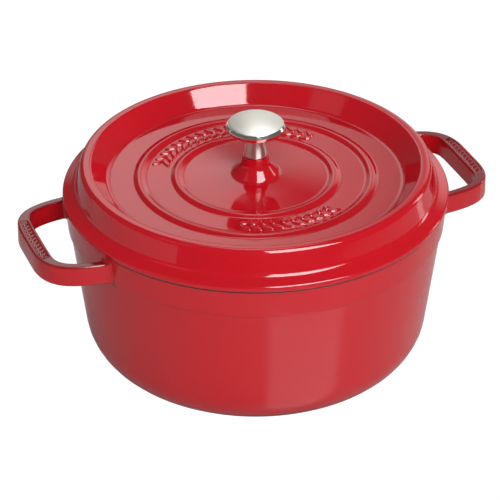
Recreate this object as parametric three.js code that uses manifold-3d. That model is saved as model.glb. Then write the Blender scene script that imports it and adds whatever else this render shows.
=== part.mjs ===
// Round cast iron dutch oven: an enamelled pot with two loop handles, and a lift-off lid
// with a recessed top, a raised rim and basting points underneath. A turned metal knob
// stands on the lid's centre boss, held from below by a screw and a lock washer.
//
// Units are millimetres and +Z is up. The handles lie along X, and the origin is the
// middle of the pot's base.

import * as THREE from 'three';
import { mergeVertices } from 'three/addons/utils/BufferGeometryUtils.js';
import Module from 'manifold-3d';

const wasm = await Module();
wasm.setup();
const { Manifold, Mesh } = wasm;

// Driving dimensions

const GAP = 0.3; // clearance between pieces that rest on each other
const CASTING_SIDES = 48;
const TURNED_SIDES = 32;
const FACET_TURN = THREE.MathUtils.degToRad(32); // the most that one facet of a fillet turns

const POT = {
  height: 113.4,
  floor: 4,
  cornerCentre: 84.2, // radius at which the base starts to turn up into the wall
  outerCorner: 29,
  innerCorner: 25.6,
  wallLean: 6.8, // degrees that the wall leans outward
  bandFoot: 93.6, // height at which the thicker band under the rim starts
  bandStep: 1.3,
  outerRim: 123.4,
  innerRim: 119.4,
  edge: 1.2,
};

const HANDLE = {
  top: 108.8,
  bottom: 95,
  edge: 1.4,
  rootRadius: 120, // the loop starts inside the pot's wall
  start: 99.4, // X at which both outlines are cut off, well inside rootRadius
  overlap: 5, // the inner outline is cut off this much further out
  centre: 60, // X of the centre of both outlines
  outer: { reach: 94.9, halfWidth: 46.4, squareness: 4.55, steps: 26 },
  inner: { reach: 84.5, halfWidth: 40, squareness: 5.4, steps: 22 },
};

const LID = {
  seat: POT.height + GAP,
  floor: 124, // the recessed top
  floorRadius: 95.25,
  underside: 120.4,
  crest: { height: 136, inner: 105.9, outer: 112.3, inside: 131.5 },
  cove: { radius: 116.4, height: 120.9 }, // where the crest's flank meets the ledge
  skirt: { radius: 124.5, shoulder: 117.15 },
  flange: { outer: 117.8, inner: 114.4, drop: 3.8 }, // hangs inside the pot's rim
};

const BEAD = { rise: 2, halfWidth: 4, radii: [74.8, 50.8] };
const BOSS = { foot: 15.2, footHeight: 126.2, neck: 9, neckHeight: 133.6, top: 8.5, height: 139.6 };

// Basting points stand in rings round the screw, each ring with six more than the last.
const BASTING_POINT = { rise: 3.8, footRadius: 3.2, tipRadius: 1.7, sides: 6, rooted: 0.5 };
const BASTING_RING = { count: 4, first: 24, pitch: 20, pointStep: 6 };

const SCREW = { shaft: 3, head: 5.6, headHeight: 3.2, tip: 155, edge: 0.6, slotWidth: 1.4, slotDepth: 1.5 };
const WASHER = { inner: 3.35, outer: 5.6, thickness: 1.3, split: 1.2 };
const BORE = 3.4; // through the lid's boss and up into the knob

const KNOB = {
  stem: 7.7,
  waist: 5.4,
  waistHeight: 150,
  head: 18.8,
  headFoot: 157.5,
  headWidest: 160.3,
  domeRadius: 17.6,
  domeFoot: 162.6,
  apex: 168,
  boreEnd: 156,
};

const material = {
  enamel: new THREE.MeshStandardMaterial({ color: 0xb3202a, roughness: 0.15, metalness: 0 }),
  nickel: new THREE.MeshStandardMaterial({ color: 0xd9d8d4, roughness: 0.18, metalness: 1 }),
  steel: new THREE.MeshStandardMaterial({ color: 0x9a9da0, roughness: 0.35, metalness: 1 }),
};

// Geometry helpers

const point = (radius, height) => new THREE.Vector2(radius, height);

// Rounds a path of [radius, height, fillet] corners. A corner without a fillet stays sharp.
function rounded(corners) {
  return corners.flatMap(([radius, height, fillet = 0], i) => {
    const corner = point(radius, height);
    if (fillet === 0) return corner;
    const back = point(...corners[i - 1]).sub(corner);
    const on = point(...corners[i + 1]).sub(corner);
    const room = 0.45 * Math.min(back.length(), on.length());
    const halfTurn = Math.acos(back.normalize().dot(on.normalize())) / 2;
    const reach = Math.min(fillet / Math.tan(halfTurn), room);
    const start = corner.clone().addScaledVector(back, reach);
    const end = corner.clone().addScaledVector(on, reach);
    const steps = Math.ceil((Math.PI - 2 * halfTurn) / FACET_TURN);
    return new THREE.QuadraticBezierCurve(start, corner, end).getPoints(steps);
  });
}

function arc(centre, radius, startDegrees, endDegrees, steps) {
  return Array.from({ length: steps + 1 }, (_, i) => {
    const angle = THREE.MathUtils.degToRad(THREE.MathUtils.lerp(startDegrees, endDegrees, i / steps));
    return point(centre.x + radius * Math.cos(angle), centre.y + radius * Math.sin(angle));
  });
}

// Revolves an outline of (radius, height) points about Z. The outline runs anticlockwise
// round its material, and starts and ends on the axis or closes on itself.
function turned(outline, sides) {
  return solidFrom(new THREE.LatheGeometry(outline, sides).rotateX(Math.PI / 2));
}

function solidFrom(geometry) {
  const bare = geometry.clone();
  bare.deleteAttribute('normal');
  bare.deleteAttribute('uv');
  const merged = mergeVertices(bare, 1e-4);
  const corners = merged.index.array;
  const triVerts = [];
  for (let i = 0; i < corners.length; i += 3) {
    const [a, b, c] = corners.slice(i, i + 3);
    if (a !== b && b !== c && c !== a) triVerts.push(a, b, c);
  }
  return new Manifold(new Mesh({
    numProp: 3,
    vertProperties: new Float32Array(merged.attributes.position.array),
    triVerts: new Uint32Array(triVerts),
  }));
}

function namedMesh(name, solid, surface) {
  const { vertProperties, triVerts } = solid.getMesh();
  const geometry = new THREE.BufferGeometry();
  geometry.setAttribute('position', new THREE.BufferAttribute(vertProperties, 3));
  geometry.setIndex(new THREE.BufferAttribute(triVerts, 1));
  geometry.computeVertexNormals();
  const mesh = new THREE.Mesh(geometry, surface.clone());
  mesh.name = name;
  return mesh;
}

// Pot: one casting with both of its loop handles

function potShell() {
  const lean = THREE.MathUtils.degToRad(POT.wallLean);
  const outerCorner = point(POT.cornerCentre, POT.outerCorner);
  const innerCorner = point(POT.cornerCentre, POT.floor + POT.innerCorner);
  const wallStart = arc(outerCorner, POT.outerCorner, -90, -POT.wallLean, 8);
  const lastCorner = wallStart.at(-1);
  const underBand = lastCorner.x + (POT.bandFoot - lastCorner.y) * Math.tan(lean);
  return turned([
    point(0, 0),
    ...wallStart,
    point(underBand, POT.bandFoot),
    point(underBand + POT.bandStep, POT.bandFoot + POT.bandStep),
    ...arc(point(POT.outerRim - POT.edge, POT.height - POT.edge), POT.edge, 0, 90, 2),
    ...arc(point(POT.innerRim + POT.edge, POT.height - POT.edge), POT.edge, 90, 180, 2),
    ...arc(innerCorner, POT.innerCorner, -POT.wallLean, -90, 7),
    point(0, POT.floor),
  ], CASTING_SIDES);
}

// Half of a superellipse, from (startX, +halfWidth) round the tip to (startX, -halfWidth).
function loopOutline({ reach, halfWidth, squareness, steps }, startX) {
  const points = [point(startX, halfWidth)];
  for (let i = 0; i <= steps; i += 1) {
    const angle = (Math.PI / 2) * (1 - (2 * i) / steps);
    const along = Math.cos(angle) ** (2 / squareness);
    const across = Math.sign(angle) * Math.abs(Math.sin(angle)) ** (2 / squareness);
    points.push(point(HANDLE.centre + reach * along, halfWidth * across));
  }
  points.push(point(startX, -halfWidth));
  return points.filter(({ x }) => x >= startX);
}

function handleLoop(side) {
  const shape = new THREE.Shape(loopOutline(HANDLE.outer, HANDLE.start).reverse());
  shape.holes.push(new THREE.Path(loopOutline(HANDLE.inner, HANDLE.start + HANDLE.overlap)));
  const bar = new THREE.ExtrudeGeometry(shape, {
    depth: HANDLE.top - HANDLE.bottom - 2 * HANDLE.edge,
    bevelThickness: HANDLE.edge,
    bevelSize: HANDLE.edge,
    bevelOffset: -HANDLE.edge,
    bevelSegments: 2,
  });
  bar.translate(0, 0, HANDLE.bottom + HANDLE.edge);
  const mouth = new THREE.CylinderGeometry(HANDLE.rootRadius, HANDLE.rootRadius, 200, CASTING_SIDES);
  const loop = solidFrom(bar).subtract(solidFrom(mouth.rotateX(Math.PI / 2)));
  return side > 0 ? loop : loop.rotate([0, 0, 180]);
}

// Lid: one casting with its boss, ring beads, locating flange and basting points

function bead(radius) {
  return [
    [radius + BEAD.halfWidth, LID.floor],
    [radius, LID.floor + 1.7 * BEAD.rise, BEAD.halfWidth * 2],
    [radius - BEAD.halfWidth, LID.floor],
  ];
}

function lidShell() {
  const { seat, floor, underside, crest, cove, skirt, flange } = LID;
  const flangeFoot = seat - flange.drop;
  return turned(rounded([
    [BORE, underside],
    [96.4, underside],
    [crest.inner + 0.3, crest.inside],
    [crest.outer - 3.8, crest.inside],
    [110.3, 126],
    [112.5, cove.height],
    [flange.inner, 118.5],
    [flange.inner, flangeFoot, 1],
    [flange.outer, flangeFoot, 1],
    [flange.outer, seat],
    [skirt.radius, seat, 1],
    [skirt.radius, skirt.shoulder, 1.8],
    [cove.radius, cove.height, 4.3],
    [crest.outer, crest.height, 5],
    [crest.inner, crest.height, 2.2],
    [LID.floorRadius, floor, 4.5],
    ...BEAD.radii.flatMap(bead),
    [BOSS.foot, BOSS.footHeight, 4.5],
    [BOSS.neck, BOSS.neckHeight, 8],
    [BOSS.top, BOSS.height],
    [BORE, BOSS.height],
    [BORE, underside],
  ]), CASTING_SIDES);
}

function bastingPoint(radius, angle) {
  const { rise, footRadius, tipRadius, sides, rooted } = BASTING_POINT;
  const cone = new THREE.CylinderGeometry(footRadius, tipRadius, rise + rooted, sides);
  cone.rotateX(Math.PI / 2);
  cone.translate(radius, 0, LID.underside + rooted - (rise + rooted) / 2);
  cone.rotateZ(angle);
  return solidFrom(cone);
}

function bastingPoints() {
  const points = [];
  for (let ring = 0; ring < BASTING_RING.count; ring += 1) {
    const radius = BASTING_RING.first + ring * BASTING_RING.pitch;
    const around = BASTING_RING.pointStep * (ring + 1);
    for (let i = 0; i < around; i += 1) {
      points.push(bastingPoint(radius, (2 * Math.PI * i) / around));
    }
  }
  return Manifold.union(points);
}

// Knob and its fixings

function knobSolid() {
  const foot = BOSS.height + GAP;
  const domeRise = KNOB.apex - KNOB.domeFoot;
  const domeRound = (KNOB.domeRadius ** 2 + domeRise ** 2) / (2 * domeRise);
  const domeAngle = THREE.MathUtils.radToDeg(Math.asin(KNOB.domeRadius / domeRound));
  return turned([
    ...rounded([
      [0, KNOB.boreEnd],
      [BORE, KNOB.boreEnd],
      [BORE, foot],
      [KNOB.stem, foot],
      [KNOB.waist, KNOB.waistHeight, 4],
      [KNOB.waist + 2.6, 154.4, 3],
      [KNOB.head - 1.2, KNOB.headFoot, 1],
      [KNOB.head, KNOB.headWidest],
    ]),
    ...arc(point(0, KNOB.apex - domeRound), domeRound, 90 - domeAngle, 90, 5),
  ], TURNED_SIDES);
}

const washerTop = LID.underside - GAP;
const screwHeadTop = washerTop - WASHER.thickness - GAP;

function knobScrew() {
  const headFoot = screwHeadTop - SCREW.headHeight;
  const blank = turned([
    point(0, headFoot),
    point(SCREW.head - SCREW.edge, headFoot),
    point(SCREW.head, headFoot + SCREW.edge),
    point(SCREW.head, screwHeadTop),
    point(SCREW.shaft, screwHeadTop),
    point(SCREW.shaft, SCREW.tip - SCREW.edge),
    point(SCREW.shaft - SCREW.edge, SCREW.tip),
    point(0, SCREW.tip),
  ], TURNED_SIDES);
  const slot = new THREE.BoxGeometry(SCREW.head * 3, SCREW.slotWidth, SCREW.slotDepth * 2);
  return blank.subtract(solidFrom(slot.translate(0, 0, headFoot)));
}

function lockWasher() {
  const foot = washerTop - WASHER.thickness;
  const ring = turned([
    point(WASHER.inner, foot),
    point(WASHER.outer, foot),
    point(WASHER.outer, washerTop),
    point(WASHER.inner, washerTop),
    point(WASHER.inner, foot),
  ], TURNED_SIDES);
  const split = new THREE.BoxGeometry(WASHER.outer * 2, WASHER.split, WASHER.thickness * 3);
  return ring.subtract(solidFrom(split.translate(WASHER.outer, 0, washerTop)));
}

// Assembly

const pot = potShell().add(handleLoop(1)).add(handleLoop(-1));

const dutchOven = new THREE.Group();
dutchOven.add(
  namedMesh('pot_body', pot, material.enamel),
  namedMesh('lid', lidShell().add(bastingPoints()), material.enamel),
  namedMesh('lid_knob', knobSolid(), material.nickel),
  namedMesh('knob_screw', knobScrew(), material.steel),
  namedMesh('lock_washer', lockWasher(), material.steel),
);

export default dutchOven;
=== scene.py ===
"""Looks for a round enamelled cast iron dutch oven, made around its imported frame.

The pot and the lid are turned from outlines, the loop handles are lofted round their
centre line and flow into the wall, and the relief, the basting points and the screw's
thread are repeats of one small casting or groove. Outlines are in millimetres, and
everything becomes metres as it turns into a mesh.
"""

from math import asin, ceil, cos, degrees, pi, radians, sin, sqrt, tan

import bmesh
import bpy
from mathutils import Matrix, Vector


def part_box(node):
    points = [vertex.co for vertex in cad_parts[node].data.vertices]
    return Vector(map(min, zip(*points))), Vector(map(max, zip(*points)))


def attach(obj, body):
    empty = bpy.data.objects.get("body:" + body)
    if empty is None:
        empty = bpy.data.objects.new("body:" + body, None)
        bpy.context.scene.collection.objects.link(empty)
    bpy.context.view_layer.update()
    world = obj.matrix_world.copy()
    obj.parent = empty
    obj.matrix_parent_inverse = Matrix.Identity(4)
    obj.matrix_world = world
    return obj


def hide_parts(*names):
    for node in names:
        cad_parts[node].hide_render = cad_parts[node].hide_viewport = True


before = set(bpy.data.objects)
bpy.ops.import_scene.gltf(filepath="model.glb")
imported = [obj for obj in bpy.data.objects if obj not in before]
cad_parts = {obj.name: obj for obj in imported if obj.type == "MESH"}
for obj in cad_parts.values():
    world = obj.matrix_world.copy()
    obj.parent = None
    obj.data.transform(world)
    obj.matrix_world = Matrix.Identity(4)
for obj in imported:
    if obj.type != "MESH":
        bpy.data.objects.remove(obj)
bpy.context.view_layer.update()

MM = 0.001


def box_mm(node):
    """A node's lowest and highest corners, in millimetres."""
    return [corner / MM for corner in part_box(node)]


# Sizes taken from the frame, in millimetres

_, pot_high = box_mm("pot_body")
lid_low, lid_high = box_mm("lid")
knob_low, knob_high = box_mm("lid_knob")
screw_low, screw_high = box_mm("knob_screw")
washer_low, washer_high = box_mm("lock_washer")

RIM = pot_high.z
RIM_RADIUS = pot_high.y
HANDLE_REACH = pot_high.x
SKIRT = lid_high.x
FLANGE_FOOT = lid_low.z
SEAT = RIM + 0.3
LID_FLOOR = SEAT + 10.3
UNDERSIDE = LID_FLOOR - 3.6
CREST = LID_FLOOR + 12
BOSS_TOP = lid_high.z
BORE = 3.4  # radius of the hole for the screw

# The wall leans out from the base, and a band under the rim stands a little proud of it
WALL_LEAN = tan(radians(6.8))
WALL_FOOT = 109.5
BAND_FOOT = RIM - 19.8
BAND_STEP = 1.3
BASE_FILLET = 29
FLOOR_THICKNESS = 4
FLOOR_RADIUS = 107.04
FLOOR_FILLET = 25.6
RIM_WIDTH = 4
BLACK_LIP_AND_GAP_SHADE = 0.9  # the red enamel stops this far under the rim: the rim's own black enamel, carried down the outside as painted shade for the dark gap under the lid's skirt

HANDLE_TOP = 108.8
HANDLE_BOTTOM = 95
LOOP_CENTRE = 60
LOOP_REACH = HANDLE_REACH - LOOP_CENTRE - 5.2
LOOP_HALF_WIDTH = 43.2
LOOP_SQUARENESS = 4.9

RED, BLACK = 0.0, 1.0  # which enamel a stretch of an outline wears
POLISHED, SATIN, TOOLED = 0.0, 1.0, 2.0  # and which finish on metal


# Outlines and plain meshes

ARC_STEP = 9  # a fillet turns by no more than this many degrees at each of its points


def rounded_outline(corners):
    """Rounds a path of (radius, height, fillet, finish) corners, and returns its points as
    (radius, height, finish). A corner's finish is that of the stretch which follows it. A
    point on the straight beside each arc keeps the straight shaded flat."""
    points = []
    finish = corners[0][3]
    for i, (radius, height, fillet, next_finish) in enumerate(corners):
        here = Vector((radius, height))
        if fillet == 0:
            points.append((radius, height, finish))
            finish = next_finish
            continue
        back = Vector(corners[i - 1][:2]) - here
        on = Vector(corners[i + 1][:2]) - here
        half_turn = back.angle(on) / 2
        reach = min(fillet / tan(half_turn), 0.46 * back.length, 0.46 * on.length)
        rounding = reach * tan(half_turn)
        centre = here + (back.normalized() + on.normalized()).normalized() * rounding / sin(half_turn)
        start = (here + back.normalized() * reach - centre).normalized()
        end = (here + on.normalized() * reach - centre).normalized()
        steps = max(3, ceil(degrees(pi - 2 * half_turn) / ARC_STEP))
        arc = [centre + rounding * start.slerp(end, k / steps) for k in range(steps + 1)]
        keeper = min(0.5, 0.2 * reach + 0.1)
        arc.insert(0, arc[0] + back.normalized() * keeper)
        arc.append(arc[-1] + on.normalized() * keeper)
        for k, place in enumerate(arc):
            points.append((place.x, place.y, finish if 2 * k < len(arc) else next_finish))
        finish = next_finish
    return points


def new_object(name, data):
    piece = bpy.data.objects.new(name, data)
    bpy.context.scene.collection.objects.link(piece)
    return piece


def mesh_object(name, vertices, faces, edges=(), material=None):
    mesh = bpy.data.meshes.new(name)
    mesh.from_pydata([Vector(v) * MM for v in vertices], list(edges), faces)
    if material:
        mesh.materials.append(material)
    return new_object(name, mesh)


def grid_faces(rows, columns):
    """Quads of a grid whose columns close round on themselves."""
    faces = []
    for start in range(0, (rows - 1) * columns, columns):
        for c in range(columns):
            here, beside = start + c, start + (c + 1) % columns
            faces.append((here, beside, beside + columns, here + columns))
    return faces


def capped(rings):
    """The vertices and faces of a tube through rings of points, closed at both ends."""
    columns = len(rings[0])
    vertices = [point for ring in rings for point in ring]
    ends = [range(columns), range(len(vertices) - columns, len(vertices))]
    return vertices, grid_faces(len(rings), columns) + [tuple(end) for end in ends]


def outward(piece, doubles=1e-7):
    """Closes seams and poles, and turns every face outwards."""
    shell = bmesh.new()
    shell.from_mesh(piece.data)
    bmesh.ops.remove_doubles(shell, verts=shell.verts, dist=doubles)
    bmesh.ops.dissolve_degenerate(shell, edges=shell.edges, dist=doubles)
    bmesh.ops.recalc_face_normals(shell, faces=shell.faces)
    for face in shell.faces:
        face.smooth = True
    shell.to_mesh(piece.data)
    shell.free()
    return piece


def paint(piece, name, values):
    """Writes a number on every vertex, for the materials to read."""
    layer = piece.data.attributes.new(name, "FLOAT", "POINT")
    layer.data.foreach_set("value", values)
    return piece


def paint_all(piece, name, value):
    return paint(piece, name, [value] * len(piece.data.vertices))


def joined(name, pieces):
    """One object from several, which keeps the material of the first."""
    first = pieces[0]
    with bpy.context.temp_override(
        active_object=first, object=first, selected_objects=pieces, selected_editable_objects=pieces
    ):
        bpy.ops.object.join()
    first.name = name
    first.data.name = name
    return first


# Geometry Nodes


class Tree:
    """A short way to write a node tree: add a node, wire its inputs by name or number."""

    def __init__(self, name, kind):
        self.tree = bpy.data.node_groups.new(name, kind)

    def socket(self, name, kind, output=False, default=None):
        side = "OUTPUT" if output else "INPUT"
        item = self.tree.interface.new_socket(name, in_out=side, socket_type="NodeSocket" + kind)
        if default is not None:
            item.default_value = default

    def add(self, kind, inputs=None, **settings):
        return add_node(self.tree, kind, inputs, **settings)


def add_node(tree, kind, inputs=None, **settings):
    """Adds a node, sets its settings, and gives its inputs a value or wires an output to them."""
    node = tree.nodes.new(kind)
    for key, value in settings.items():
        setattr(node, key, value)
    for key, value in (inputs or {}).items():
        if isinstance(value, bpy.types.NodeSocket):
            tree.links.new(value, node.inputs[key])
        else:
            node.inputs[key].default_value = value
    return node


def maths(tree, operation, a, b=0.0, clamp=False):
    node = add_node(tree, "ShaderNodeMath", {0: a, 1: b}, operation=operation, use_clamp=clamp)
    return node.outputs[0]


def turning_tree():
    """Turns the points of an outline object about Z, and keeps their finish."""
    t = Tree("turned_casting", "GeometryNodeTree")
    t.socket("Outline", "Object")
    t.socket("Points", "Int", default=10)
    t.socket("Sides", "Int", default=64)
    t.socket("Material", "Material")
    t.socket("Geometry", "Geometry", output=True)
    tree = t.tree
    given = t.add("NodeGroupInput").outputs
    outline = t.add("GeometryNodeObjectInfo", {"Object": given["Outline"]}).outputs["Geometry"]
    columns = maths(tree, "ADD", given["Sides"], 1.0)
    grid = t.add("GeometryNodeMeshGrid", {"Vertices X": given["Points"], "Vertices Y": columns})
    index = t.add("GeometryNodeInputIndex").outputs[0]
    row = maths(tree, "FLOOR", maths(tree, "DIVIDE", index, columns))
    column = maths(tree, "MODULO", index, columns)
    angle = maths(tree, "MULTIPLY", maths(tree, "DIVIDE", column, given["Sides"]), 2 * pi)

    place = t.add("GeometryNodeInputPosition").outputs[0]
    sampled = t.add(
        "GeometryNodeSampleIndex",
        {"Geometry": outline, "Value": place, "Index": row},
        data_type="FLOAT_VECTOR",
    ).outputs[0]
    at = t.add("ShaderNodeSeparateXYZ", {0: sampled}).outputs
    turned = t.add(
        "ShaderNodeCombineXYZ",
        {
            0: maths(tree, "MULTIPLY", at[0], maths(tree, "COSINE", angle)),
            1: maths(tree, "MULTIPLY", at[0], maths(tree, "SINE", angle)),
            2: at[2],
        },
    ).outputs[0]
    named = t.add("GeometryNodeInputNamedAttribute", {"Name": "second_finish"}, data_type="FLOAT")
    finish = t.add(
        "GeometryNodeSampleIndex", {"Geometry": outline, "Value": named.outputs[0], "Index": row}
    )
    stored = t.add(
        "GeometryNodeStoreNamedAttribute",
        {"Geometry": grid.outputs["Mesh"], "Name": "second_finish", "Value": finish.outputs[0]},
        data_type="FLOAT",
        domain="POINT",
    )
    shaped = t.add("GeometryNodeSetPosition", {"Geometry": stored.outputs[0], "Position": turned})
    closed = t.add("GeometryNodeMergeByDistance", {"Geometry": shaped.outputs[0], "Distance": 1e-6})
    finish_tree(t, closed.outputs[0], given["Material"])
    return tree


def arc_tree():
    """Sets copies of one small casting along an arc about a centre on the X axis."""
    t = Tree("arc_of_castings", "GeometryNodeTree")
    t.socket("Casting", "Object")
    t.socket("Count", "Int", default=8)
    for measure in ("Centre X", "Radius", "Height", "Middle", "Pitch", "Tilt"):
        t.socket(measure, "Float")
    t.socket("Material", "Material")
    t.socket("Geometry", "Geometry", output=True)
    tree = t.tree
    given = t.add("NodeGroupInput").outputs
    line = t.add("GeometryNodeMeshLine", {"Count": given["Count"]}).outputs[0]
    index = t.add("GeometryNodeInputIndex").outputs[0]
    half = maths(tree, "MULTIPLY", maths(tree, "SUBTRACT", given["Count"], 1.0), 0.5)
    step = maths(tree, "SUBTRACT", index, half)
    angle = maths(tree, "ADD", given["Middle"], maths(tree, "MULTIPLY", step, given["Pitch"]))
    along = maths(tree, "MULTIPLY", given["Radius"], maths(tree, "COSINE", angle))
    x = maths(tree, "ADD", along, given["Centre X"])
    y = maths(tree, "MULTIPLY", given["Radius"], maths(tree, "SINE", angle))
    place = t.add("ShaderNodeCombineXYZ", {0: x, 1: y, 2: given["Height"]})
    turn = t.add("ShaderNodeCombineXYZ", {2: maths(tree, "ADD", angle, given["Tilt"])})
    points = t.add("GeometryNodeSetPosition", {"Geometry": line, "Position": place.outputs[0]})
    casting = t.add("GeometryNodeObjectInfo", {"Object": given["Casting"]}).outputs["Geometry"]
    copies = t.add(
        "GeometryNodeInstanceOnPoints",
        {"Points": points.outputs[0], "Instance": casting, "Rotation": turn.outputs[0]},
    )
    finish_tree(t, copies.outputs[0], given["Material"])
    return tree


def finish_tree(t, geometry, material):
    """Ends a tree with real, smooth geometry in the given material."""
    real = t.add("GeometryNodeRealizeInstances", {"Geometry": geometry})
    smooth = t.add("GeometryNodeSetShadeSmooth", {"Geometry": real.outputs[0]})
    coated = t.add("GeometryNodeSetMaterial", {"Geometry": smooth.outputs[0], "Material": material})
    t.add("NodeGroupOutput", {"Geometry": coated.outputs[0]})


def made_by(tree, name, **inputs):
    """The plain mesh object that a tree makes from these inputs."""
    host = new_object(name + "_host", bpy.data.meshes.new(name + "_host"))
    modifier = host.modifiers.new(name, "NODES")
    modifier.node_group = tree
    for item in tree.interface.items_tree:
        key = item.name.replace(" ", "_").lower()
        if item.in_out == "INPUT" and key in inputs:
            modifier[item.identifier] = inputs[key]
    bpy.context.view_layer.update()
    evaluated = host.evaluated_get(bpy.context.evaluated_depsgraph_get())
    mesh = bpy.data.meshes.new_from_object(evaluated)
    mesh.name = name
    piece = new_object(name, mesh)
    bpy.data.objects.remove(host)
    return piece


def turned(name, outline, sides, material):
    """A piece turned from an outline, closed and facing outwards."""
    count = len(outline)
    points = [(radius, 0, height) for radius, height, _ in outline]
    profile = mesh_object(name + "_outline", points, [], [(i, i + 1) for i in range(count - 1)])
    paint(profile, "second_finish", [finish for _, _, finish in outline])
    piece = made_by(TURNING, name, outline=profile, points=count, sides=sides, material=material)
    bpy.data.objects.remove(profile)
    return outward(piece)


def castings(
    name, casting, material, count, radius, height, pitch, middle=0.0, tilt=0.0, centre_x=0.0
):
    """Copies of a small casting along an arc. Pitch, middle and tilt are angles in radians."""
    return made_by(
        ARCS, name, casting=casting, count=count, radius=radius * MM, height=height * MM,
        middle=middle, pitch=pitch, tilt=tilt, centre_x=centre_x * MM, material=material,
    )


# Materials

THIN_EDGE_DARK_TOP_RED = (0.1, 0.004, 0.006, 1)  # the enamel where it has run thin on the handles' edges, and the darker red laid over their tops
DEEP_BLACK, GREY_BLACK = (0.006, 0.006, 0.006, 1), (0.03, 0.029, 0.028, 1)
TOOLED_ROUGHNESS = 0.38


def new_material(name):
    material = bpy.data.materials.new(name)
    material.use_nodes = True
    material.node_tree.nodes.clear()
    return material, material.node_tree


def surface(tree, shader):
    add_node(tree, "ShaderNodeOutputMaterial", {"Surface": shader.outputs[0]})


def object_place(tree):
    return add_node(tree, "ShaderNodeTexCoord").outputs["Object"]


def painted(tree, name):
    """The number that paint() wrote under this name."""
    return add_node(tree, "ShaderNodeAttribute", attribute_name=name).outputs["Fac"]


def noise(tree, place, scale, detail):
    inputs = {"Vector": place, "Scale": scale, "Detail": detail}
    return add_node(tree, "ShaderNodeTexNoise", inputs).outputs[0]


def spread(tree, value, low, high):
    """Spreads a value between 0 and 1 out over low to high."""
    inputs = {"Value": value, "To Min": low, "To Max": high}
    return add_node(tree, "ShaderNodeMapRange", inputs).outputs[0]


def blend(tree, factor, a, b):
    """A colour between a and b."""
    mix = add_node(tree, "ShaderNodeMix", {"Factor": factor, "A": a, "B": b}, data_type="RGBA")
    return next(s for s in mix.outputs if s.type == "RGBA" and s.enabled)


def bump(tree, strength, distance, height, normal=None):
    """A normal bent by a height, on top of another normal if there is one."""
    inputs = {"Strength": strength, "Distance": distance, "Height": height}
    if normal:
        inputs["Normal"] = normal
    return add_node(tree, "ShaderNodeBump", inputs).outputs[0]


def ripple_group():
    """Orange peel: the slow swell and fine ripple of fired enamel, as a normal."""
    t = Tree("orange_peel", "ShaderNodeTree")
    t.socket("Place", "Vector")
    t.socket("Swell", "Float", default=0.3)
    t.socket("Ripple", "Float", default=0.1)
    t.socket("Normal", "Vector", output=True)
    tree = t.tree
    given = t.add("NodeGroupInput").outputs
    slow = noise(tree, given["Place"], 55.0, 1.0)
    fine = noise(tree, given["Place"], 420.0, 2.0)
    swell = bump(tree, given["Swell"], 0.0006, slow)
    both = bump(tree, given["Ripple"], 0.0002, fine, normal=swell)
    t.add("NodeGroupOutput", {"Normal": both})
    return tree


def turning_lines_group():
    """Fine rings left by a lathe tool, as a normal and a mask. They follow radius and height."""
    t = Tree("turning_lines", "ShaderNodeTree")
    t.socket("Place", "Vector")
    t.socket("Lines per Metre", "Float", default=1500.0)
    t.socket("Depth", "Float", default=0.1)
    t.socket("Mask", "Float", output=True)
    t.socket("Normal", "Vector", output=True)
    tree = t.tree
    given = t.add("NodeGroupInput").outputs
    at = t.add("ShaderNodeSeparateXYZ", {0: given["Place"]}).outputs
    squares = maths(tree, "ADD", maths(tree, "POWER", at[0], 2.0), maths(tree, "POWER", at[1], 2.0))
    along = maths(tree, "ADD", maths(tree, "SQRT", squares), at[2])
    across = maths(tree, "MULTIPLY", along, given["Lines per Metre"])
    mask = noise(tree, t.add("ShaderNodeCombineXYZ", {0: across}).outputs[0], 1.0, 3.0)
    t.add("NodeGroupOutput", {"Mask": mask, "Normal": bump(tree, given["Depth"], 0.0001, mask)})
    return tree


def cast_enamel(name, red, deep_red, gloss, swell, ripple):
    """Cherry enamel outside and matte black enamel inside, divided by the second_finish attribute.
    The red is darker where an attribute says so: where the enamel has run thin along the handles'
    edges, and over the handles' tops."""
    material, tree = new_material(name)
    place = object_place(tree)
    side = painted(tree, "second_finish")
    # darker red where the enamel has run thin on the handles' edges, and over their tops
    thin = painted(tree, "thin_enamel")
    clouds = noise(tree, place, 14.0, 3.0)
    speckle = noise(tree, place, 900.0, 2.0)
    cherry = blend(tree, clouds, deep_red, red)
    outside = blend(tree, thin, cherry, THIN_EDGE_DARK_TOP_RED)
    inside = blend(tree, speckle, DEEP_BLACK, GREY_BLACK)
    rough = add_node(
        tree, "ShaderNodeMix",
        {
            "Factor": side,
            "A": spread(tree, clouds, gloss, gloss * 1.4),
            "B": spread(tree, speckle, 0.5, 0.72),
        },
        data_type="FLOAT",
    )
    peel = add_node(
        tree, "ShaderNodeGroup", {"Place": place, "Swell": swell, "Ripple": ripple}, node_tree=PEEL
    )
    grain = bump(tree, 0.5, 0.0003, maths(tree, "MULTIPLY", speckle, side), normal=peel.outputs[0])
    shader = add_node(
        tree, "ShaderNodeBsdfPrincipled",
        {
            "Base Color": blend(tree, side, outside, inside),
            "Roughness": rough.outputs["Result"],
            "Normal": grain,
            "IOR": 1.58,
        },
    )
    surface(tree, shader)
    return material


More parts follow.
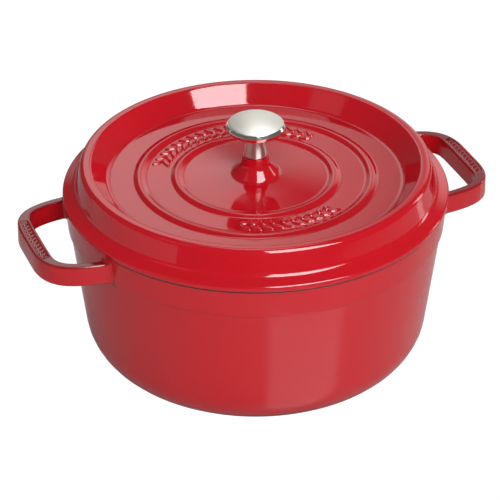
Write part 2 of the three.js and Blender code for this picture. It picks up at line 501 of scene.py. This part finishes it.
def turned_metal(name, colour, polished, satin, lines, depth):
    """Metal from the lathe. The second_finish attribute marks where polish gives way to satin, or
    to bare tooling, which smears its gloss across the rings that the tool left."""
    material, tree = new_material(name)
    rings = add_node(
        tree, "ShaderNodeGroup",
        {"Place": object_place(tree), "Lines per Metre": lines, "Depth": depth},
        node_tree=LINES,
    ).outputs
    finish = painted(tree, "second_finish")
    tooled = maths(tree, "SUBTRACT", finish, SATIN, clamp=True)
    base = spread(tree, tooled, spread(tree, finish, polished, satin), TOOLED_ROUGHNESS)
    uneven = spread(tree, rings["Mask"], 0.85, 1.2)
    about_z = add_node(tree, "ShaderNodeTangent", direction_type="RADIAL", axis="Z")
    shader = add_node(
        tree, "ShaderNodeBsdfPrincipled",
        {
            "Base Color": colour,
            "Metallic": 1.0,
            "Roughness": maths(tree, "MULTIPLY", base, uneven),
            "Normal": rings["Normal"],
            "Anisotropic": maths(tree, "MULTIPLY", tooled, 0.95),
            "Anisotropic Rotation": 0.25,
            "Tangent": about_z.outputs[0],
        },
    )
    surface(tree, shader)
    return material


def studio_sheet():
    """A pale glossy sheet, which the camera sees as plain white with no shadow on it."""
    material, tree = new_material("studio_sheet")
    sheet = add_node(
        tree, "ShaderNodeBsdfPrincipled",
        {"Base Color": (0.5, 0.5, 0.5, 1), "Roughness": 0.14, "IOR": 1.6},
    )
    white = add_node(tree, "ShaderNodeEmission", {"Color": (1, 1, 1, 1), "Strength": 1.05})
    seen = add_node(tree, "ShaderNodeLightPath").outputs["Is Camera Ray"]
    inputs = {0: seen, 1: sheet.outputs[0], 2: white.outputs[0]}
    surface(tree, add_node(tree, "ShaderNodeMixShader", inputs))
    return material


# Pot


def wall_radius(height):
    """Radius of the pot's outer wall, with the band's step."""
    foot = WALL_FOOT + WALL_LEAN * BAND_FOOT
    if height <= BAND_FOOT:
        return WALL_FOOT + WALL_LEAN * height
    if height <= BAND_FOOT + BAND_STEP:
        return foot + height - BAND_FOOT
    share = (height - BAND_FOOT - BAND_STEP) / (RIM - BAND_FOOT - BAND_STEP)
    return foot + BAND_STEP + share * (RIM_RADIUS - foot - BAND_STEP)


def pot_outline():
    foot = wall_radius(BAND_FOOT)
    return rounded_outline([
        (0, 0, 0, BLACK),
        (WALL_FOOT, 0, BASE_FILLET, RED),
        (foot, BAND_FOOT, 0.9, RED),
        (foot + BAND_STEP, BAND_FOOT + BAND_STEP, 0.9, RED),
        # Black from here up: the rim's own black enamel over its rounded edge, and below it on the
        # outside painted shade for the gap under the lid's skirt
        (RIM_RADIUS - 0.02, RIM - BLACK_LIP_AND_GAP_SHADE, 0, BLACK),
        (RIM_RADIUS, RIM, 1.2, BLACK),
        (RIM_RADIUS - RIM_WIDTH, RIM, 1.2, BLACK),
        (FLOOR_RADIUS, FLOOR_THICKNESS, FLOOR_FILLET, BLACK),
        (0, FLOOR_THICKNESS, 0, BLACK),
    ])


def loop_line(count=900):
    """Points of the handle's centre line, half of a rounded square, from +Y round to -Y."""
    line = []
    for i in range(count + 1):
        angle = pi / 2 - pi * i / count
        along = max(cos(angle), 0) ** (2 / LOOP_SQUARENESS)
        across = abs(sin(angle)) ** (2 / LOOP_SQUARENESS)
        y = LOOP_HALF_WIDTH * (across if angle > 0 else -across)
        line.append(Vector((LOOP_CENTRE + LOOP_REACH * along, y)))
    return line


def loop_side(x):
    """Half the distance between the handle's two arms at this X, on their centre lines."""
    along = (x - LOOP_CENTRE) / LOOP_REACH
    return LOOP_HALF_WIDTH * (1 - along**LOOP_SQUARENESS) ** (1 / LOOP_SQUARENESS)


def smooth_step(value, low, high):
    share = min(max((value - low) / (high - low), 0), 1)
    return share * share * (3 - 2 * share)


HANDLE_MIDDLE = (HANDLE_TOP + HANDLE_BOTTOM) / 2
HANDLE_HALF_HEIGHT = (HANDLE_TOP - HANDLE_BOTTOM) / 2
HANDLE_EDGE = 1.4
HANDLE_DRAFT = 0.35  # how much narrower the bar is on top than below, each side
ARM_HALF_WIDTH, GRIP_HALF_WIDTH = 3.2, 5.2
ROOT_FILLET = 2.8
ROOT_FILLET_UP = 2.4  # the fillet above the bar stays under the rim
PANEL_HALF_LENGTH = 24
PANEL_MARGIN = 2.3
PANEL_DEPTH = 0.7
RIBS = 11
RIB_ARC = 420  # radius of the shallow arc that the ribs stand along


def bar_section(half_width):
    """A closed section of the handle's bar as (across, up), with a finely divided top."""
    flat_across, flat_up = half_width - HANDLE_EDGE, HANDLE_HALF_HEIGHT - HANDLE_EDGE
    top = [((1 - 2 * k / 16) * flat_across, HANDLE_HALF_HEIGHT) for k in range(1, 16)]
    below = [((2 * k / 4 - 1) * flat_across, -HANDLE_HALF_HEIGHT) for k in (1, 2, 3)]
    points = []
    for side, level, start in ((1, 1, 0), (-1, 1, 90), (-1, -1, 180), (1, -1, 270)):
        if start == 90:
            points += top
        for angle in (radians(start + 15 * k) for k in range(7)):
            across = side * flat_across + HANDLE_EDGE * cos(angle)
            points.append((across, level * flat_up + HANDLE_EDGE * sin(angle)))
        if start == 180:
            points += below
    return points


def bar_half_width(y):
    """The bar is wider across its grip than along its arms."""
    grip = 1 - smooth_step(abs(y), 14, 41)
    return ARM_HALF_WIDTH + (GRIP_HALF_WIDTH - ARM_HALF_WIDTH) * grip


def drafted(across, up, half_width):
    """A place across the bar, drawn in as it rises."""
    return across * (1 - HANDLE_DRAFT / half_width * (up / HANDLE_HALF_HEIGHT + 1) / 2)


def root_ring(away, end):
    """One ring of a handle's root, away millimetres from the wall. The ring widens towards the
    wall, so that the bar flows into it."""
    inside = max(ROOT_FILLET - max(away, 0), 0)
    growth = ROOT_FILLET - sqrt(ROOT_FILLET**2 - inside**2)
    half_width = bar_half_width(LOOP_HALF_WIDTH)
    ring = []
    for across, up in bar_section(half_width):
        wide = drafted(across, up, half_width) * (half_width + growth) / half_width
        rise = growth * (ROOT_FILLET_UP / ROOT_FILLET if up > 0 else 1)
        z = HANDLE_MIDDLE + up * (HANDLE_HALF_HEIGHT + rise) / HANDLE_HALF_HEIGHT
        x = RIM_RADIUS - 6
        for _ in range(4):  # closes in on where the bar meets the round wall
            y = loop_side(x) + wide
            x = sqrt((wall_radius(z) + away) ** 2 - y * y)
        ring.append((x, end * y, z))
    return ring


def grip_ring(place, normal):
    """One ring of the bar away from the wall, with the sunken panel in its top."""
    half_width = bar_half_width(place.y)
    ring = []
    lengthwise = 1 - smooth_step(abs(place.y), PANEL_HALF_LENGTH - 1.2, PANEL_HALF_LENGTH)
    for across, up in bar_section(half_width):
        z = HANDLE_MIDDLE + up
        if up == HANDLE_HALF_HEIGHT:
            margin = half_width - abs(across)
            crosswise = smooth_step(margin, PANEL_MARGIN - 0.5, PANEL_MARGIN + 0.3)
            z -= PANEL_DEPTH * lengthwise * crosswise
        wide = drafted(across, up, half_width)
        ring.append((place.x + normal.x * wide, place.y + normal.y * wide, z))
    return ring


def loop_handle(name):
    """A loop handle on the +X side: root, grip, root."""
    shares = (0, 0.02, 0.07, 0.16, 0.29, 0.45, 0.65, 0.84, 1)
    steps = [-0.5, *(ROOT_FILLET * share for share in shares)]
    rings = [root_ring(away, 1) for away in steps]
    line = loop_line()
    clear = wall_radius(HANDLE_TOP) + ROOT_FILLET + 3.5
    travelled = 0
    spacing = 0.9
    for i in range(1, len(line) - 1):
        travelled += (line[i] - line[i - 1]).length
        if line[i].length < clear or travelled < spacing:
            continue
        travelled = 0
        heading = (line[i + 1] - line[i - 1]).normalized()
        rings.append(grip_ring(line[i], Vector((-heading.y, heading.x))))
    rings += [root_ring(away, -1) for away in reversed(steps)]
    handle = outward(mesh_object(name, *capped(rings), material=POT_ENAMEL))
    return darken_edges_and_top(paint_all(handle, "second_finish", RED))


def darken_edges_and_top(handle):
    """Marks where the enamel runs thin, along the bar's edges, and where the red is darker, over its
    top.
    """
    middle = HANDLE_MIDDLE * MM
    edge_starts = (HANDLE_HALF_HEIGHT - 1.2 * HANDLE_EDGE) * MM
    shares = []
    for vertex in handle.data.vertices:
        up, tilt = vertex.co.z - middle, abs(vertex.normal.z)
        near_edge = 1 - abs(2 * tilt - 1) if abs(up) > edge_starts else 0
        # the whole top of the bar is made darker
        on_top = 0.8 if tilt > 0.9 and up > 0 else 0
        shares.append(max(0.85 * near_edge, on_top))
    return paint(handle, "thin_enamel", shares)


# The side of a small casting, from its buried foot to its top, as (reach, height) shares
SOFT_SIDE = (
    (1.3, -0.18), (1.2, 0.0), (1.1, 0.1), (1.0, 0.32),
    (0.9, 0.62), (0.76, 0.86), (0.5, 0.98), (0.2, 1.0),
)


def small_casting(name, length, width, rise, taper=0.0, enamel=RED, around=16):
    """A low raised shape with a soft foot, pointing along X. Taper narrows its front."""
    rings = []
    for reach, height in SOFT_SIDE:
        ring = []
        for k in range(around):
            angle = 2 * pi * k / around
            x = cos(angle) * (length / 2 + (reach - 1) * width / 2)
            y = sin(angle) * (1 - taper * cos(angle)) * width / 2 * reach
            ring.append((x, y, rise * height))
        rings.append(ring)
    return paint_all(outward(mesh_object(name, *capped(rings))), "second_finish", enamel)


def make_pot():
    shell = turned("pot_shell", pot_outline(), 288, POT_ENAMEL)
    right = loop_handle("right_loop")
    # the ribs on the handle's top are made darker too
    rib = paint_all(small_casting("grip_rib", 4.6, 1.7, 0.7), "thin_enamel", 0.7)
    pitch = 2 * (PANEL_HALF_LENGTH - 4) / (RIBS - 1) / RIB_ARC
    ribs = castings(
        "grip_ribs", rib, POT_ENAMEL, RIBS, RIB_ARC, HANDLE_TOP - PANEL_DEPTH, pitch,
        tilt=radians(24), centre_x=LOOP_CENTRE + LOOP_REACH - 0.3 - RIB_ARC,
    )
    bpy.data.objects.remove(rib)
    right = joined("right_loop", [right, ribs])
    left = new_object("left_loop", right.data.copy())
    left.data.transform(Matrix.Rotation(pi, 4, "Z"))
    pot = joined("enamelled_pot", [shell, right, left])
    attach(pot, "pot")
    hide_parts("pot_body")


# Lid

FLANGE_INNER, FLANGE_OUTER = 114.4, 117.8
COVE = 116.4  # where the skirt's slope turns up into the crest's outer flank
CREST_OUTER, CREST_INNER = 112.3, 105.9  # the crest's flat top, before rounding
RECESS = 95.25  # radius of the lid's flat floor
BEADS = (74.8, 50.8)
BEAD_WIDTH, BEAD_RISE = 4, 2.1  # each side, before rounding
BOSS_FOOT, BOSS_NECK, BOSS_EDGE = 15.2, 9, 8.5
DISC_RISE = 2.2  # how far the floor rises from the inner bead to the foot of the boss
LEAF_LENGTH, LEAF_WIDTH, LEAF_RISE = 8.8, 3.7, 1.1
LEAF_BAND = 62.8  # radius of the middle of the leaf bands
LEAF_ROWS = 3.1  # the two rows stand this far inside and outside the middle
LEAF_PITCH = 6.6
LEAF_LEAN = 0.62
BASTING_RINGS = 4
BASTING_START, BASTING_STEP = 24, 20


def bead_corners(radius):
    return [
        (radius + BEAD_WIDTH, LID_FLOOR, 4, RED),
        (radius, LID_FLOOR + BEAD_RISE, 4, RED),
        (radius - BEAD_WIDTH, LID_FLOOR, 4, RED),
    ]


def lid_outline():
    """Runs out along the underside, down and up the flange, and back in over the top."""
    hollow = CREST - 4.3  # the crest is hollow underneath, up to here
    return rounded_outline([
        (BORE, UNDERSIDE, 0, BLACK),
        (96.4, UNDERSIDE, 4, BLACK),
        (106.2, hollow, 1.2, BLACK),
        (108.4, hollow, 1.2, BLACK),
        (112, UNDERSIDE + 1.2, 4, BLACK),
        (FLANGE_INNER, UNDERSIDE - 2.2, 2, BLACK),
        (FLANGE_INNER, FLANGE_FOOT, 1, BLACK),
        (FLANGE_OUTER, FLANGE_FOOT, 1, BLACK),
        (FLANGE_OUTER, SEAT, 0.8, BLACK),
        (SKIRT, SEAT, 1, RED),
        (SKIRT, SEAT + 3.5, 1.8, RED),
        (COVE, SEAT + 7.2, 4.3, RED),
        (CREST_OUTER, CREST, 5, RED),
        (CREST_INNER, CREST, 2.2, RED),
        (RECESS, LID_FLOOR, 4.5, RED),
        *bead_corners(BEADS[0]),
        *bead_corners(BEADS[1]),
        (BOSS_FOOT, LID_FLOOR + DISC_RISE, 4.5, RED),
        (BOSS_NECK, BOSS_TOP - 6, 8, RED),
        (BOSS_EDGE, BOSS_TOP, 0.6, RED),
        (BORE, BOSS_TOP, 0, BLACK),
        (BORE, UNDERSIDE, 0, BLACK),
    ])


def basting_points():
    """Four rings of blunt cones under the lid, each with six more than the last."""
    cone = small_casting("basting_cone", 5.6, 5.6, 3.8, enamel=BLACK, around=12)
    cone.data.transform(Matrix.Rotation(pi, 4, "X"))
    rings = []
    for k in range(BASTING_RINGS):
        count, radius = 6 * (k + 1), BASTING_START + BASTING_STEP * k
        rings.append(castings(
            f"basting_ring_{k}", cone, LID_ENAMEL, count, radius, UNDERSIDE, 2 * pi / count
        ))
    bpy.data.objects.remove(cone)
    return rings


def leaf_band(name, middle, sweep):
    """Two rows of raised leaves in a herringbone, along one arc between the beads."""
    leaf = small_casting("leaf", LEAF_LENGTH, LEAF_WIDTH, LEAF_RISE, taper=0.35)
    rows = []
    pitch = LEAF_PITCH / LEAF_BAND
    for row in (-1, 1):
        rows.append(castings(
            f"{name}_{row}", leaf, LID_ENAMEL, int(sweep / pitch) + 1, LEAF_BAND + LEAF_ROWS * row,
            LID_FLOOR, pitch, middle=middle, tilt=pi / 2 - LEAF_LEAN * row,
        ))
    bpy.data.objects.remove(leaf)
    return rows


def make_lid():
    shell = turned("lid_shell", lid_outline(), 320, LID_ENAMEL)
    back = leaf_band("back_leaves", pi / 2, radians(112))
    front = leaf_band("front_leaves", -pi / 2, radians(60))
    lid = joined("enamelled_lid", [shell, *basting_points(), *back, *front])
    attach(lid, "lid")
    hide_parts("lid")


# Knob, screw and washer

SHARP = radians(35)  # edges that turn more than this stay crisp on the screw and the washer


def make_knob():
    """A mushroom knob: a tooled stem, a polished edge and a satin dome, with a blind bore."""
    foot, top, head = knob_low.z, knob_high.z, knob_high.x
    bore_end = 156
    dome_edge, dome_foot = 17.4, 162.7
    dome_rise = top - dome_foot
    dome_radius = (dome_edge**2 + dome_rise**2) / (2 * dome_rise)
    half_angle = asin(dome_edge / dome_radius)
    steps = 14
    dome = []
    for k in range(steps + 1):
        angle = half_angle * (1 - k / steps)
        dome.append((dome_radius * sin(angle), top - dome_radius * (1 - cos(angle)), SATIN))
    body = rounded_outline([
        (0, bore_end, 0, POLISHED),
        (BORE, bore_end, 0, POLISHED),
        (BORE, foot, 0, POLISHED),
        (7.7, foot, 0.4, TOOLED),
        (5.3, 150.6, 4, TOOLED),
        (8, 154.6, 4, POLISHED),
        (head - 0.9, 157.4, 1.5, POLISHED),
        (head + 0.2, 160.3, 0.9, POLISHED),
        (dome_edge + 0.4, dome_foot - 0.3, 0.2, POLISHED),
        (dome_edge + 0.1, dome_foot - 0.6, 0, POLISHED),
    ])
    knob = turned("turned_knob", body + dome, 128, NICKEL)
    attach(knob, "lid")
    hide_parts("lid_knob")


def make_screw():
    """A slotted cheese-head screw, with its thread as close grooves towards its end."""
    head_radius = screw_high.x
    head_top = screw_low.z + 3.2
    shaft = 3
    thread_start = screw_high.z - 16
    outline = rounded_outline([
        (0, screw_low.z, 0, POLISHED),
        (head_radius, screw_low.z, 0.9, POLISHED),
        (head_radius, head_top, 0.2, POLISHED),
        (shaft, head_top, 0.2, POLISHED),
        (shaft, thread_start, 0, POLISHED),
    ])
    root, crest, pitch, turns = 2.45, 2.95, 1.0, 14
    groove = ((root, 0.45), (root, 0.55), (crest, 0.95), (crest, 1.05))
    for turn in range(turns):
        at = thread_start + pitch * turn
        outline += [(radius, at + rise, POLISHED) for radius, rise in groove]
    outline += [(2.3, screw_high.z, POLISHED), (0, screw_high.z, POLISHED)]
    screw = turned("slotted_screw", outline, 64, STEEL)
    half_length, half_width, depth = 9, 0.7, 1.5
    corners = [
        (x * half_length, y * half_width, screw_low.z + z * depth)
        for x in (-1, 1) for y in (-1, 1) for z in (-1, 1)
    ]
    sides = [(0, 1, 3, 2), (4, 6, 7, 5), (0, 4, 5, 1), (2, 3, 7, 6), (0, 2, 6, 4), (1, 5, 7, 3)]
    slot = outward(mesh_object("screw_slot", corners, sides))
    cut = screw.modifiers.new("slot", "BOOLEAN")
    cut.operation = "DIFFERENCE"
    cut.solver = "EXACT"
    cut.object = slot
    evaluated = screw.evaluated_get(bpy.context.evaluated_depsgraph_get())
    cut_mesh = bpy.data.meshes.new_from_object(evaluated)
    screw.modifiers.clear()
    screw.data = cut_mesh
    bpy.data.objects.remove(slot)
    screw.data.shade_smooth()
    screw.data.set_sharp_from_angle(angle=SHARP)
    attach(screw, "lid")
    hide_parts("knob_screw")


def make_washer():
    """A spring lock washer: one turn of square wire whose cut ends stand a little apart."""
    foot, top = washer_low.z, washer_high.z
    inner, outer = 3.4, washer_high.y
    lift = 0.25
    thickness = top - foot - lift
    bevel = 0.12
    section = [
        (inner + bevel, 0), (outer - bevel, 0),
        (outer, bevel), (outer, thickness - bevel),
        (outer - bevel, thickness), (inner + bevel, thickness),
        (inner, thickness - bevel), (inner, bevel),
    ]
    gap = radians(13)
    steps = 72
    rings = []
    for k in range(steps + 1):
        angle = gap / 2 + (2 * pi - gap) * k / steps
        low = foot + lift * k / steps
        rings.append([(radius * cos(angle), radius * sin(angle), low + z) for radius, z in section])
    washer = outward(mesh_object("spring_washer", *capped(rings), material=STEEL))
    washer.data.set_sharp_from_angle(angle=SHARP)
    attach(washer, "lid")
    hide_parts("lock_washer")


# Studio

VIEW_AZIMUTH = radians(21.33)  # the camera stands this far round from -Y towards -X
VIEW_ELEVATION = radians(31.6)
VIEW_DISTANCE = 1.5217
AIM_HEIGHT = 0.0676


def round_the_pot(bearing, distance, height):
    """A place round the pot. Bearing is in degrees from the camera's side, positive to its right."""
    angle = radians(bearing) - VIEW_AZIMUTH - pi / 2
    return Vector((distance * cos(angle), distance * sin(angle), height))


def aim(thing):
    """Turns a camera or a light towards the pot's middle."""
    look = Vector((0, 0, AIM_HEIGHT)) - thing.location
    thing.rotation_euler = look.to_track_quat("-Z", "Y").to_euler()


def make_camera():
    data = bpy.data.cameras.new("camera")
    data.lens = 166.8
    data.sensor_width = 36
    data.shift_x = -0.0114
    camera = new_object("camera", data)
    height = AIM_HEIGHT + VIEW_DISTANCE * sin(VIEW_ELEVATION)
    camera.location = round_the_pot(0, VIEW_DISTANCE * cos(VIEW_ELEVATION), height)
    aim(camera)
    bpy.context.scene.camera = camera


def make_fill(name, bearing, distance, height, size, radiance):
    """A soft light that faces the pot's middle, and lights its colour but not its gloss."""
    data = bpy.data.lights.new(name, "AREA")
    data.shape = "DISK"
    data.size = size
    disc = pi * size**2 / 4
    data.energy = radiance * pi * disc
    light = new_object(name, data)
    light.location = round_the_pot(bearing, distance, height)
    aim(light)
    light.visible_camera = False
    light.visible_glossy = False


def make_panel(name, corners, radiance, colour=(1, 1, 1, 1)):
    """A bright panel that shows only in the gloss. Its corners are (bearing, distance, height)."""
    material, tree = new_material(name)
    surface(tree, add_node(tree, "ShaderNodeEmission", {"Color": colour, "Strength": radiance}))
    places = [round_the_pot(*corner) / MM for corner in corners]
    panel = mesh_object(name, places, [(0, 1, 2, 3)], material=material)
    panel.visible_camera = False
    panel.visible_diffuse = False
    panel.visible_shadow = False


def glow(tree, direction, bearing, elevation, inner, outer, radiance):
    """A soft round patch of light far away, even out to inner degrees and gone at outer."""
    level = cos(radians(elevation))
    centre = round_the_pot(bearing, level, sin(radians(elevation)))
    facing = add_node(
        tree, "ShaderNodeVectorMath", {0: direction, 1: centre}, operation="DOT_PRODUCT"
    )
    inputs = {
        "Value": facing.outputs["Value"],
        "From Min": cos(radians(outer)),
        "From Max": cos(radians(inner)),
        "To Max": radiance,
    }
    return add_node(
        tree, "ShaderNodeMapRange", inputs, interpolation_type="SMOOTHSTEP"
    ).outputs[0]


def make_surroundings():
    """A dim studio with soft bright patches on the walls behind the pot and on its left."""
    world = bpy.data.worlds.new("studio")
    bpy.context.scene.world = world
    world.use_nodes = True
    tree = world.node_tree
    tree.nodes.clear()
    direction = add_node(tree, "ShaderNodeTexCoord").outputs["Generated"]
    light = 0.12
    for patch in (  # bearing, elevation, inner, outer, radiance
        (190, 32, 5, 14, 1.4),
        (195, 14, 5, 13, 0.45),
        (163, 18, 8, 20, 1.0),
        (-66, 50, 8, 12, 0.35),
    ):
        light = maths(tree, "ADD", glow(tree, direction, *patch), light)
    background = add_node(tree, "ShaderNodeBackground", {"Color": (1, 1, 1, 1), "Strength": light})
    add_node(tree, "ShaderNodeOutputWorld", {"Surface": background.outputs[0]})


def make_floor():
    half, level = 4000, -0.2  # just under the pot, so that the two faces don't fight
    corners = [(-half, -half, level), (half, -half, level), (half, half, level), (-half, half, level)]
    mesh_object("studio_floor", corners, [(0, 1, 2, 3)], material=studio_sheet())


def make_studio():
    make_camera()
    window = [(9, 1.2, 0.9), (57, 1.2, 0.9), (68, 1.0, 3.6), (10, 1.2, 3.9)]
    make_panel("key_window", window, 11, colour=(0.96, 1, 1.04, 1))
    make_panel("right_strip", [(113, 1.2, 0.1), (120, 1.2, 0.1), (120, 1.2, 0.6), (113, 1.2, 0.6)], 4)
    make_panel("overhead", [(150, 0.25, 1.7), (210, 0.25, 1.7), (200, 1.0, 1.5), (160, 1.0, 1.5)], 2.0)
    make_panel("low_left", [(-115, 1.2, 0.0), (-45, 1.2, 0.0), (-45, 1.2, 0.3), (-115, 1.2, 0.3)], 0.5)
    make_fill("front_fill", 20, 1.4, 0.6, 1.5, 3.9)
    make_fill("left_fill", -80, 1.4, 0.5, 1.2, 1.1)
    make_fill("right_fill", 125, 1.4, 0.6, 1.0, 4.5)
    make_fill("top_fill", 20, 0.4, 1.5, 1.4, 1.9)
    make_surroundings()
    make_floor()
    bpy.context.scene.view_settings.view_transform = "Standard"


TURNING = turning_tree()
ARCS = arc_tree()
PEEL = ripple_group()
LINES = turning_lines_group()

POT_ENAMEL = cast_enamel(
    "pot_cherry_enamel", red=(0.53, 0.006, 0.012, 1), deep_red=(0.47, 0.004, 0.01, 1),
    gloss=0.13, swell=0.12, ripple=0.1,
)
LID_ENAMEL = cast_enamel(
    "lid_cherry_enamel", red=(0.51, 0.004, 0.012, 1), deep_red=(0.45, 0.003, 0.01, 1),
    gloss=0.05, swell=0.1, ripple=0.04,
)
NICKEL = turned_metal(
    "polished_nickel", colour=(0.92, 0.88, 0.8, 1), polished=0.1, satin=0.6, lines=2600, depth=0.06
)
STEEL = turned_metal(
    "machined_steel", colour=(0.56, 0.57, 0.58, 1), polished=0.3, satin=0.45, lines=1800, depth=0.25
)

make_pot()
make_lid()
make_knob()
make_screw()
make_washer()
make_studio()
